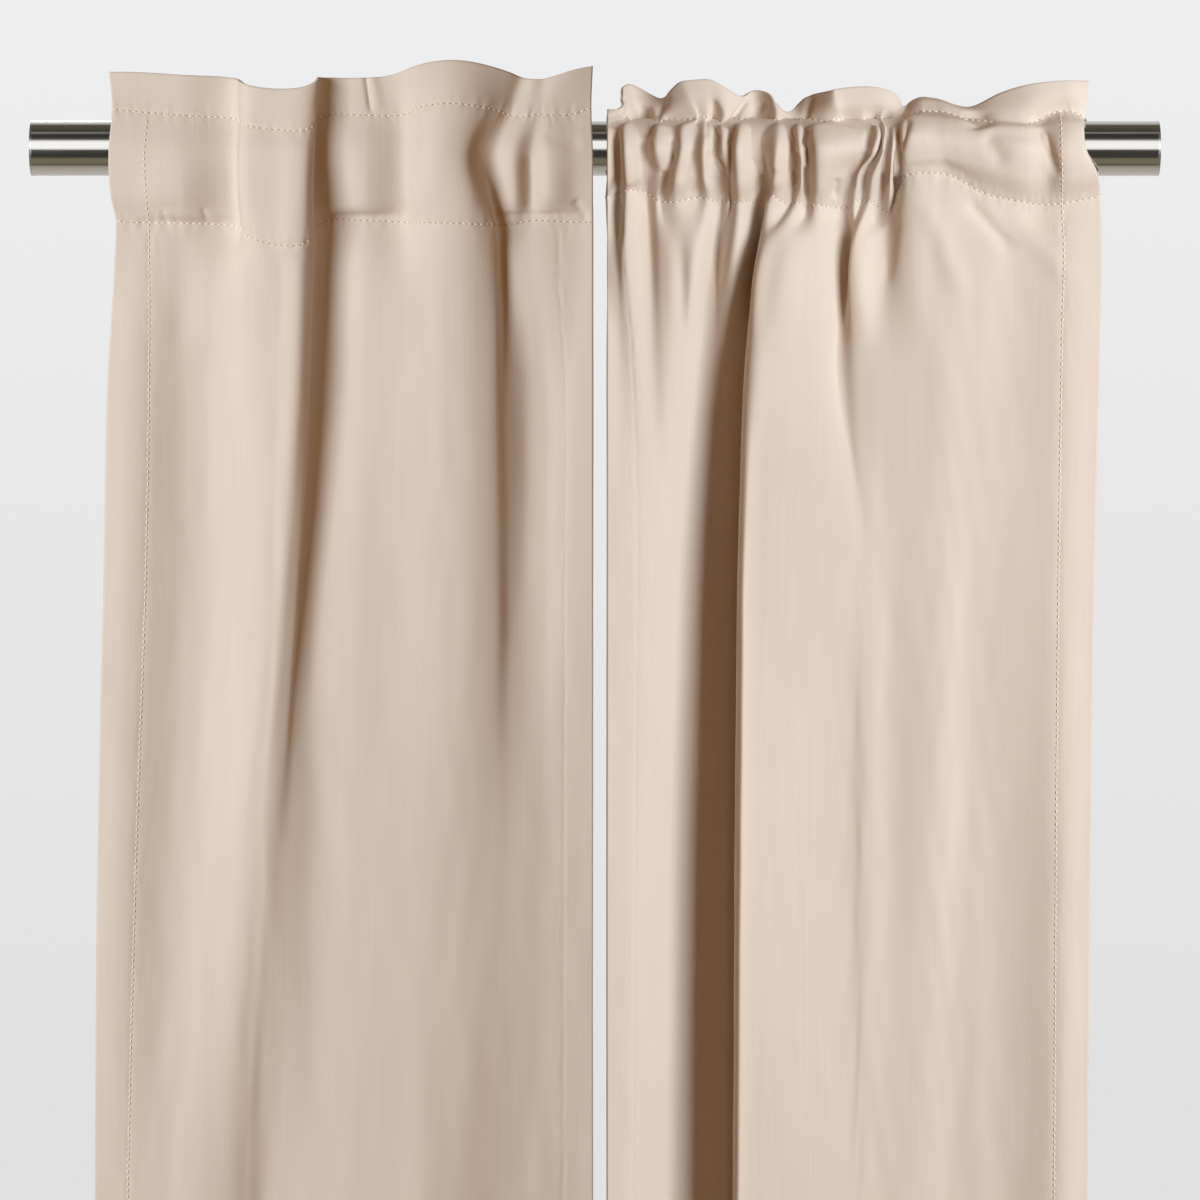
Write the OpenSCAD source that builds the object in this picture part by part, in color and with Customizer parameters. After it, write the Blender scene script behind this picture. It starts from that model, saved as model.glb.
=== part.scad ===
// Pair of window curtains on a wall-mounted steel rod.
// Millimetres. +X is right, +Z is up, the room side faces -Y, and the wall is the plane Y = 0.
// The origin is the centre of the four wall screw holes, level with the rod's axis.
// The left panel hangs by three back tabs, and the right panel is gathered on its rod pocket.

/* [Rod] */
// Outer diameter of the rod tube
rod_d = 38.1; // [32:0.1:38.1]
// Overall length of the rod with its end caps
rod_len = 784; // [780:1:900]
// Wall thickness of the rod tube
rod_wall = 1.2; // [1:0.1:2]

/* [Brackets] */
// Distance from the wall to the rod's axis
projection = 82; // [80:1:120]
// Distance between the two posts
post_span = 740; // [738:1:770]
// Distance between the two screw holes of one wall plate
screw_spacing = 14; // [13:0.5:15]
// Radius of the holes that the wall screws pass through
screw_hole_r = 1.9; // [1.5:0.1:2.2]

/* [Panels] */
// Finished length of a panel from its top edge to its hem
panel_len = 1600; // [1100:10:2200]
// Width of the left panel as it hangs
left_w = 335; // [330:1:340]
// Width of the right panel as it hangs
right_w = 344; // [330:1:345]
// Gap between the two panels' leading edges
panel_gap = 10; // [6:1:14]
// Thickness of the blackout cloth
cloth_t = 0.9; // [0.6:0.1:1]
// Height of the heading above the top row of stitches
heading_h = 29; // [20:1:35]
// Width of the side hems
side_hem_w = 25; // [15:1:30]
// Height of the bottom hem
bottom_hem_h = 76; // [40:1:100]

/* [Folds] */
// How far the left panel's two pleats stand out
pleat_depth = 34; // [15:1:36]
// Width of the left panel's pleats
pleat_w = 75; // [60:1:80]
// How far the right panel's folds swing to each side of the rod's plane
fold_depth = 29; // [15:1:30]
// Number of folds in the right panel
fold_count = 4; // [2:1:5]

/* [Tabs] */
// Width of a back tab
tab_w = 42; // [30:1:44]
// Distance between the left panel's back tabs
tab_pitch = 125; // [120:1:128]

/* [Hidden] */
$fn = 64;
fit = 0.05;            // clearance of the fixed metal fits
layer_gap = 0.1;       // air between two layers of cloth
rod_r = rod_d / 2;
rod_bore_r = rod_r - rod_wall;
rod_y = -projection;
gap_x = 3.5;           // the leading edges meet a little right of the middle
left_inner_x = gap_x - panel_gap / 2;
left_outer_x = left_inner_x - left_w;
right_inner_x = gap_x + panel_gap / 2;
right_outer_x = right_inner_x + right_w;

// Metal fittings
cap_t = 1.6;
cap_plug_len = 12;
cap_wall = 1.5;
plate_r = 12.5;
plate_t = 5;
sink_r = 3.4;
cup_r = 14.5;
cup_len = 12;
cup_floor_t = 2.5;
neck_r = 8;
saddle_r = 11.5;
post_screw_r = 2.5;
screw_head_r = 4.2;
screw_head_h = 2.8;
nut_body_r = 3.5;
nut_flange_r = 5;
nut_flange_t = 0.8;
nut_len = 9;
grub_r = 1.5;
grub_len = 4;
grub_y = -plate_t / 2;
dimple_depth = 1;
rod_back_y = rod_y + rod_r;

// Levels of the cloth
left_row_top = rod_r + 2;
left_row_low = -51;
right_row_low = -37;
left_top_z = left_row_top + heading_h;
right_row_top = rod_r + 2.5;
right_top_z = right_row_top + heading_h - 3;
left_hem_z = left_top_z - panel_len;
right_hem_z = right_top_z - panel_len;
layer = cloth_t + layer_gap;
face_y = rod_y - rod_r - 3.2;
tab_t = 0.8;
tab_gap = 1;           // air between a tab and the rod
tab_sewn = 6;          // length of tab sewn flat at each end
pleat_side = 24;
ruffle_depth = 11;
ruffle_count = 6;
thread_t = 0.4;
thread_w = 0.8;
thread_out = (cloth_t + layer_gap + thread_t) / 2;
curve_step = 3.5;

// ---- Curves ----

// A ramp from 0 to 1 with level ends
function ramp(t) = let (c = min(max(t, 0), 1)) c * c * (3 - 2 * c);

// A flat-topped bump of height 1 round the middle x
function pleat(x, middle) =
  ramp((x - middle + pleat_w / 2) / pleat_side) * ramp((middle + pleat_w / 2 - x) / pleat_side);

// Middles of the left panel's tabs, from the leading edge outward, and of the pleats between them
function tab_x(i) = left_inner_x - 34 - i * tab_pitch;
function pleat_x(i) = tab_x(i) - tab_pitch / 2;

// Depth of the left cloth at x: flat in front of the tabs, proud at the pleats
left_depth = function(x)
  face_y - pleat_depth * (pleat(x, pleat_x(0)) + pleat(x, pleat_x(1)));

// Depth of the right cloth at x, and of its ruffled heading
right_depth = function(x)
  rod_y - fold_depth * sin(360 * fold_count * (x - right_inner_x) / right_w);
heading_depth = function(x)
  rod_y - ruffle_depth * sin(360 * ruffle_count * (x - right_inner_x) / right_w);

// Points all along the rod at a distance behind a sheet, on the same grid for each of its layers
function behind(depth, distance) =
  [for (x = [-rod_len / 2:curve_step:rod_len / 2])
    let (slope = (depth(x + 0.01) - depth(x - 0.01)) / 0.02)
    [x, depth(x)] + distance * [-slope, 1] / norm([-slope, 1])];

// The stretch of a line of points from x0 to x1, cut square at both ends
function stretch(line, x0, x1) = concat(
  [[x0, lookup(x0, line)]],
  [for (p = line) if (p[0] > x0 + 0.01 && p[0] < x1 - 0.01) p],
  [[x1, lookup(x1, line)]]
);

function reversed(line) = [for (i = [len(line) - 1:-1:0]) line[i]];

// Unit normal at point i of a line of points, to the left of its direction
function normal(p, i) =
  let (d = p[min(i + 1, len(p) - 1)] - p[max(i - 1, 0)]) [-d[1], d[0]] / norm(d);

// Outline of a band of thickness t that follows the points
function band(p, t) = concat(
  [for (i = [0:len(p) - 1]) p[i] + normal(p, i) * t / 2],
  [for (i = [len(p) - 1:-1:0]) p[i] - normal(p, i) * t / 2]
);

// Arc of points round the rod's axis, in the plane across the rod
function arc(r, a0, a1, n) = [for (i = [0:n]) let (a = a0 + (a1 - a0) * i / n) [r * cos(a), r * sin(a)]];

// Angle at which the tangent from point p touches the circle of radius r, on the given side
function touch(p, r, side) = atan2(p[1], p[0]) + side * acos(r / norm(p));

// ---- Cloth shapes ----

// A sheet of thickness t, from x0 to x1 and from z0 up to z1, a distance behind the panel's own depth
module hung(depth, x0, x1, t, distance, z0, z1) {
  front = stretch(behind(depth, distance - t / 2), x0, x1);
  back = stretch(behind(depth, distance + t / 2), x0, x1);
  translate([0, 0, z0])
    linear_extrude(z1 - z0)
      polygon(concat(front, reversed(back)));
}

// A profile across the rod, given in the rod's own plane, drawn along X from x0 to x1
module along_rod(x0, x1) {
  translate([x0, rod_y, 0])
    rotate([90, 0, 90])
      linear_extrude(x1 - x0)
        children();
}

// Stitches on a panel's room side, down it at x or across it at z
module stitch_column(depth, x, z0, z1) {
  hung(depth, x - thread_w / 2, x + thread_w / 2, thread_t, -thread_out, z0, z1);
}

module stitch_row(depth, x0, x1, z) {
  hung(depth, x0, x1, thread_t, -thread_out, z - thread_w / 2, z + thread_w / 2);
}

// ---- Rod and brackets ----

// Copies its children to the right, or mirrors them to the left
module at_side(side) {
  if (side > 0) children();
  else mirror([1, 0, 0]) children();
}

module rod_tube() {
  color("silver")
    difference() {
      translate([-rod_len / 2 + cap_t, rod_y, 0])
        rotate([0, 90, 0])
          cylinder(r = rod_r, h = rod_len - 2 * cap_t);
      translate([-rod_len / 2, rod_y, 0])
        rotate([0, 90, 0])
          cylinder(r = rod_bore_r, h = rod_len);
      for (side = [-1, 1])
        translate([side * post_span / 2, rod_y, 0])
          rotate([-90, 0, 0])
            cylinder(r = nut_body_r + fit, h = rod_r + 1);
    }
}

module end_cap(side) {
  color("gainsboro")
    at_side(side)
      translate([rod_len / 2, rod_y, 0])
        rotate([0, -90, 0])
          difference() {
            union() {
              cylinder(r = rod_r, h = cap_t);
              cylinder(r = rod_bore_r - fit, h = cap_t + cap_plug_len);
            }
            translate([0, 0, cap_t])
              cylinder(r = rod_bore_r - cap_wall, h = cap_plug_len + 1);
          }
}

module wall_plate(side) {
  color("lightgray")
    at_side(side)
      translate([post_span / 2, 0, 0])
        difference() {
          rotate([90, 0, 0])
            cylinder(r = plate_r, h = plate_t);
          for (z = [-1, 1] * screw_spacing / 2)
            translate([0, 0, z])
              rotate([90, 0, 0]) {
                translate([0, 0, -1])
                  cylinder(r = screw_hole_r, h = plate_t + 2);
                translate([0, 0, plate_t - (sink_r - screw_hole_r)])
                  cylinder(r1 = screw_hole_r, r2 = sink_r, h = sink_r - screw_hole_r);
              }
          translate([0, grub_y, -plate_r - 1])
            cylinder(r = grub_r + fit, h = 1 + dimple_depth);
        }
}

// A turned post: a cup over the wall plate, a waisted neck, and a saddle for the rod's back
module post(side) {
  color("silver")
    at_side(side)
      translate([post_span / 2, 0, 0])
        difference() {
          rotate([90, 0, 0])
            rotate_extrude()
              polygon(post_outline());
          rotate([90, 0, 0])
            translate([0, 0, -1])
              cylinder(r = plate_r + fit, h = cup_len - cup_floor_t + 1);
          rotate([90, 0, 0])
            cylinder(r = post_screw_r + fit, h = projection);
          translate([-saddle_r - 1, rod_y, 0])
            rotate([0, 90, 0])
              cylinder(r = rod_r + fit, h = 2 * saddle_r + 2);
          translate([0, rod_back_y - nut_flange_r, 0])
            rotate([-90, 0, 0])
              cylinder(r = nut_flange_r + fit, h = nut_flange_r + nut_flange_t + fit);
          translate([0, grub_y, -cup_r - 1])
            cylinder(r = grub_r + fit, h = cup_r - plate_r + 1.5);
        }
}

// Half outline of the post, as radius and distance from the wall, with a cove on each side of its neck
function post_outline() =
  let (
    near = cup_len,
    far = projection - rod_r - 9,
    middle = (near + far) / 2,
    half = (far - near) / 2
  )
  concat(
    [[0, 0], [cup_r, 0]],
    [for (i = [0:16])
      let (t = i / 16, rim = t < 0.5 ? cup_r : saddle_r)
      [neck_r + (rim - neck_r) * pow(cos(180 * t), 2), middle - half + 2 * half * t]],
    [[saddle_r, projection - 2], [0, projection - 2]]
  );

module post_screw(side) {
  shank_end = projection - rod_r + nut_len + 2;
  color("dimgray")
    at_side(side)
      translate([post_span / 2, 0, 0])
        rotate([90, 0, 0])
          difference() {
            union() {
              translate([0, 0, cup_len - cup_floor_t - fit - screw_head_h])
                cylinder(r = screw_head_r, h = screw_head_h);
              translate([0, 0, cup_len - cup_floor_t - fit - 1])
                cylinder(r = post_screw_r, h = shank_end - cup_len + cup_floor_t + 1);
            }
            translate([0, 0, cup_len - cup_floor_t - fit - screw_head_h - 1])
              cylinder(r = 1.7, h = 2.8, $fn = 6);
          }
}

module rivet_nut(side) {
  color("darkkhaki")
    at_side(side)
      translate([post_span / 2, rod_back_y + nut_flange_t, 0])
        rotate([90, 0, 0])
          difference() {
            union() {
              cylinder(r = nut_flange_r, h = nut_flange_t);
              cylinder(r = nut_body_r, h = nut_flange_t + nut_len);
            }
            translate([0, 0, -1])
              cylinder(r = post_screw_r + fit, h = nut_len + nut_flange_t + 2);
          }
}

module grub_screw(side) {
  color("dimgray")
    at_side(side)
      translate([post_span / 2, grub_y, -plate_r + dimple_depth - fit - grub_len])
        difference() {
          cylinder(r = grub_r, h = grub_len);
          translate([0, 0, -1])
            cylinder(r = 0.8, h = 2.5, $fn = 6);
        }
}

// ---- Left panel ----

module left_sheet(x0, x1, distance, z0, z1) {
  hung(left_depth, x0, x1, cloth_t, distance, z0, z1);
}

module left_panel_cloth() {
  color("tan")
    left_sheet(left_outer_x, left_inner_x, 0, left_hem_z, left_top_z);
}

// The top of the cloth is turned over to the back and sewn down along both rows
module left_top_facing() {
  color("burlywood")
    left_sheet(left_outer_x, left_inner_x, layer, left_row_low - 4, left_top_z);
}

module left_side_hem(x0, x1) {
  color("burlywood")
    left_sheet(x0, x1, layer, left_hem_z + bottom_hem_h + 1, left_row_low - 5);
}

module left_bottom_hem() {
  color("burlywood")
    left_sheet(left_outer_x, left_inner_x, layer, left_hem_z, left_hem_z + bottom_hem_h);
}

// Centre line of a tab, across the rod: sewn at the top row, round the rod's back, sewn at the low row
function tab_line() =
  let (
    sewn_y = face_y - rod_y + 1.5 * layer + tab_t / 2,
    r = rod_r + tab_gap + tab_t / 2,
    top = [sewn_y, left_row_top],
    low = [sewn_y, left_row_low + 4],
    on = touch(top, r, -1),
    off = touch(low, r, 1)
  )
  concat([[sewn_y, left_row_top + tab_sewn], top], arc(r, on, off, 20), [low, [sewn_y, left_row_low - 3]]);

module back_tab(i) {
  color("wheat")
    along_rod(tab_x(i) - tab_w / 2, tab_x(i) + tab_w / 2)
      polygon(band(tab_line(), tab_t));
}

module left_seam_thread() {
  color("linen") {
    for (z = [left_row_top, left_row_low, left_hem_z + bottom_hem_h - 2])
      stitch_row(left_depth, left_outer_x, left_inner_x, z);
    for (x = [left_outer_x + side_hem_w - 2, left_inner_x - side_hem_w + 2])
      stitch_column(left_depth, x, left_hem_z + bottom_hem_h, left_row_low - 2);
  }
}

// ---- Right panel ----

module right_sheet(x0, x1, distance, z0, z1) {
  hung(right_depth, x0, x1, cloth_t, distance, z0, z1);
}

module right_panel_cloth() {
  color("tan")
    right_sheet(right_inner_x, right_outer_x, 0, right_hem_z, right_row_low - 0.5);
}

// Centre line of one half of the rod pocket, from the top row round the rod to the low row
function pocket_line(side) =
  let (
    r = rod_r + 1 + cloth_t / 2,
    low = [side * layer / 2, right_row_low],
    on = 90 - side * asin(layer / 2 / r),
    off = touch(low, r, side) + (side < 0 ? 360 : 0)
  )
  concat(arc(r, on, off, 20), [low]);

module right_pocket(side) {
  color(side < 0 ? "tan" : "burlywood")
    along_rod(right_inner_x, right_outer_x)
      polygon(band(pocket_line(side), cloth_t));
}

module right_ruffled_heading() {
  color("tan")
    hung(heading_depth, right_inner_x, right_outer_x, 2 * cloth_t, 0, right_row_top, right_top_z);
}

module right_side_hem(x0, x1) {
  color("burlywood")
    right_sheet(x0, x1, layer, right_hem_z + bottom_hem_h + 1, right_row_low - 1);
}

module right_bottom_hem() {
  color("burlywood")
    right_sheet(right_inner_x, right_outer_x, layer, right_hem_z, right_hem_z + bottom_hem_h);
}

module right_seam_thread() {
  color("linen") {
    hung(heading_depth, right_inner_x, right_outer_x, thread_t, -thread_out - cloth_t / 2,
      right_row_top + 0.5, right_row_top + 0.5 + thread_w);
    for (z = [right_row_low - 2, right_hem_z + bottom_hem_h - 2])
      stitch_row(right_depth, right_inner_x, right_outer_x, z);
    for (x = [right_inner_x + side_hem_w - 2, right_outer_x - side_hem_w + 2])
      stitch_column(right_depth, x, right_hem_z + bottom_hem_h, right_row_low - 4);
  }
}

rod_tube();
end_cap(-1);  // left_end_cap
end_cap(1);  // right_end_cap
wall_plate(-1);  // left_wall_plate
wall_plate(1);  // right_wall_plate
post(-1);  // left_post
post(1);  // right_post
post_screw(-1);  // left_post_screw
post_screw(1);  // right_post_screw
rivet_nut(-1);  // left_rivet_nut
rivet_nut(1);  // right_rivet_nut
grub_screw(-1);  // left_grub_screw
grub_screw(1);  // right_grub_screw
left_panel_cloth();
left_top_facing();
left_side_hem(left_outer_x, left_outer_x + side_hem_w);  // left_outer_side_hem
left_side_hem(left_inner_x - side_hem_w, left_inner_x);  // left_inner_side_hem
left_bottom_hem();
back_tab(2);  // left_outer_tab
back_tab(1);  // left_middle_tab
back_tab(0);  // left_inner_tab
left_seam_thread();
right_panel_cloth();
right_pocket(-1);  // right_pocket_front
right_pocket(1);  // right_pocket_back
right_ruffled_heading();
right_side_hem(right_outer_x - side_hem_w, right_outer_x);  // right_outer_side_hem
right_side_hem(right_inner_x, right_inner_x + side_hem_w);  // right_inner_side_hem
right_bottom_hem();
right_seam_thread();
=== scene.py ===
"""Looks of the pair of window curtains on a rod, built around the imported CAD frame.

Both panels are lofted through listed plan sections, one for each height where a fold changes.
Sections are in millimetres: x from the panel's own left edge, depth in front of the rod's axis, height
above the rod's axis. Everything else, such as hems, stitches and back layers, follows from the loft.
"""

import math

import bpy
import numpy as np
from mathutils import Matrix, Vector

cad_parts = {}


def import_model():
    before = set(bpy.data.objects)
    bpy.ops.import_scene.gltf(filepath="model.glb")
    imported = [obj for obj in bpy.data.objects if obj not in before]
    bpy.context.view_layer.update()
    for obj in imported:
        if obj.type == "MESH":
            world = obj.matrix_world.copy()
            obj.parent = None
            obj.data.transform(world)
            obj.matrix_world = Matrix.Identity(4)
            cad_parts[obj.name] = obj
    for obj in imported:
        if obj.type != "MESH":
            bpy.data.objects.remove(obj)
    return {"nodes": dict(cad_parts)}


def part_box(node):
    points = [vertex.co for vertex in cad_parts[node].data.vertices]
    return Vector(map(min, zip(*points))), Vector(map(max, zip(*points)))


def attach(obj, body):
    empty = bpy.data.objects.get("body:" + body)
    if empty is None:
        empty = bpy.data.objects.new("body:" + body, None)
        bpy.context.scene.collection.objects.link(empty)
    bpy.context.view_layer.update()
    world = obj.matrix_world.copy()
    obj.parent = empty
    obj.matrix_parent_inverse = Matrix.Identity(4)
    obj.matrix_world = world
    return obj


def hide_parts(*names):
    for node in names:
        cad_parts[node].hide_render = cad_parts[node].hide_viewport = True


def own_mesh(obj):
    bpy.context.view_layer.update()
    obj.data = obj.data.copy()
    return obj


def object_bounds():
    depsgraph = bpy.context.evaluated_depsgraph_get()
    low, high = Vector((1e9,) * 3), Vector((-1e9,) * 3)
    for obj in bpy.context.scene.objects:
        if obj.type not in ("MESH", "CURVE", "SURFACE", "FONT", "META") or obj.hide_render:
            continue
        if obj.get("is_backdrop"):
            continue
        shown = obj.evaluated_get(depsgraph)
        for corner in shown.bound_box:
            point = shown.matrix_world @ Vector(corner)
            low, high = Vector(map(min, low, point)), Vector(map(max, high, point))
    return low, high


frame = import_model()
nodes = frame["nodes"]
cad_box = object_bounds()

MM = 0.001
ROD_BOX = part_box("rod_tube")
ROD_Y = (ROD_BOX[0].y + ROD_BOX[1].y) / 2
ROD_Z = (ROD_BOX[0].z + ROD_BOX[1].z) / 2
ROD_R = (ROD_BOX[1].z - ROD_BOX[0].z) / 2 / MM
LEFT_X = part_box("left_panel_cloth")[0].x
LEFT_INNER_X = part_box("left_panel_cloth")[1].x
RIGHT_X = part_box("right_bottom_hem")[0].x
RIGHT_OUTER_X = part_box("right_bottom_hem")[1].x
LEFT_HEM_Z = (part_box("left_panel_cloth")[0].z - ROD_Z) / MM
RIGHT_HEM_Z = (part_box("right_panel_cloth")[0].z - ROD_Z) / MM

# Sizes in millimetres, unless a name says otherwise.
CLOTH_T = 0.9
TAB_T = 0.8
TAB_GAP = 1.3  # from the rod to the middle of a tab's cloth
TAB_GRID = (31, 90)  # columns, rows
LAYER = 1.05  # from the middle of one layer of cloth to the middle of the next
WRAP_GAP = 1.4  # from the rod to the middle of the cloth that lies round it
ROD_GAP = 1.0  # least gap between the rod and the back of a panel's cloth
SIDE_HEM = 25.0
HEM_INSET = 2.0  # from a side hem's folded-in edge to its stitches
BOTTOM_HEM = 76.0
GATHER = 1.35  # how far a gather stands off the rod, as a share of its section's value
STITCH_PITCH = 4.4
STITCH_SHARE = 0.66  # of the pitch that the thread shows for
THREAD_R = 0.46
THREAD_RISE = np.array([-0.35, 0.12, 0.22, 0.12, -0.35])  # a stitch's arch, end to end
THREAD_SWELL = np.array([0.55, 0.95, 1.0, 0.95, 0.55])  # and its thickness, as shares of THREAD_R
THREAD_SIDES = 6
# The discs at the needle holes, which the thread material colours as painted shade.
HOLE_R = 0.5
HOLE_RINGS = ((-0.3, HOLE_R), (0.02, HOLE_R), (0.10, HOLE_R * 0.6))  # height on the cloth, radius
HOLE_SIDES = 8


# ---------------------------------------------------------------- curves and grids

def spline(knots, values, at):
    """Smooth curve through values at knots, with finite-difference tangents, read at the points in at."""
    knots = np.asarray(knots, float)
    values = np.asarray(values, float)
    at = np.clip(np.asarray(at, float), knots[0], knots[-1])
    step = np.diff(knots).reshape((-1,) + (1,) * (values.ndim - 1))
    slope = np.diff(values, axis=0) / step
    tangent = np.empty_like(values)
    tangent[0], tangent[-1] = slope[0], slope[-1]
    tangent[1:-1] = (slope[:-1] * step[1:] + slope[1:] * step[:-1]) / (step[1:] + step[:-1])
    i = np.clip(np.searchsorted(knots, at, side="right") - 1, 0, len(knots) - 2)
    width = knots[i + 1] - knots[i]
    t = (at - knots[i]) / width
    shape = (-1,) + (1,) * (values.ndim - 1)
    t, width = t.reshape(shape), width.reshape(shape)
    h1 = 2 * t**3 - 3 * t**2 + 1
    h2 = t**3 - 2 * t**2 + t
    h3 = -2 * t**3 + 3 * t**2
    h4 = t**3 - t**2
    return h1 * values[i] + h2 * width * tangent[i] + h3 * values[i + 1] + h4 * width * tangent[i + 1]


def section(columns, x, depth, z):
    """A plan section: the named columns, with x, depth and height for each, or one height for all."""
    z = [z] * len(x) if np.isscalar(z) else z
    return list(columns), np.array([x, depth, z], float).T


def wrapped(columns, x, proud, angle, radius):
    """A section that lies round the rod: proud is how far it stands off, angle is degrees above the front,
    one for all columns or one for each."""
    r = radius + np.array(proud, float) * GATHER
    a = np.radians(angle) + 0 * r
    return list(columns), np.array([x, r * np.cos(a), r * np.sin(a)], float).T


def clear_of_rod(grid, rows, radius):
    """Moves the points of some rows straight out from the rod's axis until none is nearer than radius."""
    part = grid[slice(*rows)]
    away = np.hypot(part[..., 1], part[..., 2])
    part[..., 1:] *= np.maximum(1, radius / np.maximum(away, 1e-6))[..., None]


def soften(grid, rows, spread):
    """Rounds the folds along the first rows of the grid, and fades out over the last six of them. spread is
    the rounding's standard deviation, in columns."""
    fade_rows = 6
    reach = int(4 * spread)
    weights = np.exp(-0.5 * (np.arange(-reach, reach + 1) / spread) ** 2)
    weights /= weights.sum()
    for row in range(rows):
        before = 2 * grid[row, :1] - grid[row, reach:0:-1]
        after = 2 * grid[row, -1:] - grid[row, -2:-reach - 2:-1]
        ends = np.concatenate([before, grid[row], after])
        rounded = np.stack([np.convolve(ends[:, i], weights, "valid") for i in range(3)], axis=1)
        grid[row] += (rounded - grid[row]) * min(1.0, (rows - row) / fade_rows)


def chord_knots(points):
    """Running length along points, from 0 to 1."""
    run = np.concatenate([[0], np.cumsum(np.linalg.norm(np.diff(points, axis=0), axis=1))])
    return run / run[-1]


def loft(sections, knots, count, steps):
    """Grid of points through the sections. knots gives each column's place across the cloth, 0 to 1;
    steps gives the spacing of rows between each pair of sections. Returns the grid and each section's row."""
    across = np.linspace(0, 1, count)
    curves = [spline([knots[c] for c in columns], points, across) for columns, points in sections]
    return fill_down(curves, steps)


def fill_down(curves, steps):
    """The rows of a grid through curves that all have the same number of points."""
    curves = np.array(curves)
    gaps = np.linalg.norm(np.diff(curves, axis=0), axis=2).mean(1)
    down = np.concatenate([[0], np.cumsum(gaps)])
    rows = []
    marks = []
    for i, gap in enumerate(gaps):
        marks.append(len(rows))
        n = max(1, round(gap / steps[i]))
        rows += list(down[i] + gap * np.arange(n) / n)
    marks.append(len(rows))
    rows.append(down[-1])
    return spline(down, curves, rows), marks


def normals(grid):
    """Unit normals of a grid of points, towards the room."""
    du = np.gradient(grid, axis=1)
    dv = np.gradient(grid, axis=0)
    n = np.cross(du, dv)
    n /= np.maximum(np.linalg.norm(n, axis=2, keepdims=True), 1e-9)
    return n * np.sign(np.median(n[..., 1]))


def lengths(grid, axis):
    """Running length along the grid's rows (axis 1) or columns (axis 0)."""
    d = np.linalg.norm(np.diff(grid, axis=axis), axis=2)
    pad = [(1, 0), (0, 0)] if axis == 0 else [(0, 0), (1, 0)]
    return np.cumsum(np.pad(d, pad), axis=axis)


def waves(u, v, seed, scale_u, scale_v, terms=7):
    """Smooth irregular waves over the cloth, between about -1 and 1, from a few seeded sines. scale_u and
    scale_v are their typical lengths across and down the cloth, in mm."""
    rng = np.random.default_rng(seed)
    total = np.zeros(np.broadcast(u, v).shape)
    for _ in range(terms):
        fu, fv = rng.uniform(0.5, 1.6, 2)
        pu, pv = rng.uniform(0, 2 * math.pi, 2)
        tilt = rng.uniform(-0.4, 0.4)
        sideways = np.sin(2 * math.pi * (u * fu / scale_u + tilt * v / scale_v) + pu)
        total += sideways * np.cos(2 * math.pi * v * fv / scale_v + pv)
    return total / math.sqrt(terms)


def bell(x, width):
    """1 at x = 0, falling away smoothly on both sides."""
    return np.exp(-((x / width) ** 2))


# ---------------------------------------------------------------- meshes

def world(points, x0):
    """Section space (x, depth, height in mm) to the frame's metres."""
    p = np.asarray(points, float)
    out = np.empty_like(p)
    out[..., 0] = x0 + p[..., 0] * MM
    out[..., 1] = ROD_Y - p[..., 1] * MM
    out[..., 2] = ROD_Z + p[..., 2] * MM
    return out


def mesh_object(name, verts, faces, material, uvs=None):
    mesh = bpy.data.meshes.new(name)
    mesh.from_pydata([tuple(v) for v in verts], [], [tuple(f) for f in faces])
    if uvs is not None:
        layer = mesh.uv_layers.new(name="UVMap")
        loops = np.array([loop.vertex_index for loop in mesh.loops])
        layer.data.foreach_set("uv", np.asarray(uvs, float)[loops].ravel().astype(np.float32))
    mesh.polygons.foreach_set("use_smooth", [True] * len(mesh.polygons))
    mesh.update()
    obj = bpy.data.objects.new(name, mesh)
    bpy.context.scene.collection.objects.link(obj)
    obj.data.materials.append(material)
    return obj


def cloth_object(name, grid, x0, material, flat, thickness=CLOTH_T):
    """A piece of cloth from a grid in section space. flat is each point's place on the flat cloth, in mm."""
    rows, cols = grid.shape[:2]
    index = np.arange(rows * cols).reshape(rows, cols)
    a, b = index[:-1, :-1].ravel(), index[:-1, 1:].ravel()
    c, d = index[1:, 1:].ravel(), index[1:, :-1].ravel()
    faces = np.stack([a, d, c, b], axis=1)
    obj = mesh_object(name, world(grid, x0).reshape(-1, 3), faces, material, flat.reshape(-1, 2) * MM)
    solid = obj.modifiers.new("thickness", "SOLIDIFY")
    solid.thickness = thickness * MM
    solid.offset = 0
    return obj


# ---------------------------------------------------------------- materials

def new_material(name):
    material = bpy.data.materials.new(name)
    material.use_nodes = True
    tree = material.node_tree
    tree.nodes.clear()
    shader = tree.nodes.new("ShaderNodeBsdfPrincipled")
    out = tree.nodes.new("ShaderNodeOutputMaterial")
    tree.links.new(shader.outputs[0], out.inputs[0])
    return material, tree, shader


def node(tree, kind, inputs=None, **settings):
    n = tree.nodes.new(kind)
    for key, value in settings.items():
        setattr(n, key, value)
    for key, value in (inputs or {}).items():
        if isinstance(value, bpy.types.NodeSocket):
            tree.links.new(value, n.inputs[key])
        else:
            n.inputs[key].default_value = value
    return n


def mapped(tree, source, scale):
    """Coordinates from source, scaled."""
    return node(tree, "ShaderNodeMapping", {"Vector": source, "Scale": scale}).outputs[0]


def noise(tree, vector, detail, scale=1.0):
    inputs = {"Vector": vector, "Scale": scale, "Detail": detail}
    return node(tree, "ShaderNodeTexNoise", inputs).outputs[0]


def math_node(tree, operation, a, b):
    return node(tree, "ShaderNodeMath", {0: a, 1: b}, operation=operation).outputs[0]


def weighted(tree, a, share_a, b, share_b):
    """The sum of a and b, each times its share."""
    first = math_node(tree, "MULTIPLY", a, share_a)
    second = math_node(tree, "MULTIPLY", b, share_b)
    return math_node(tree, "ADD", first, second)


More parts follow.
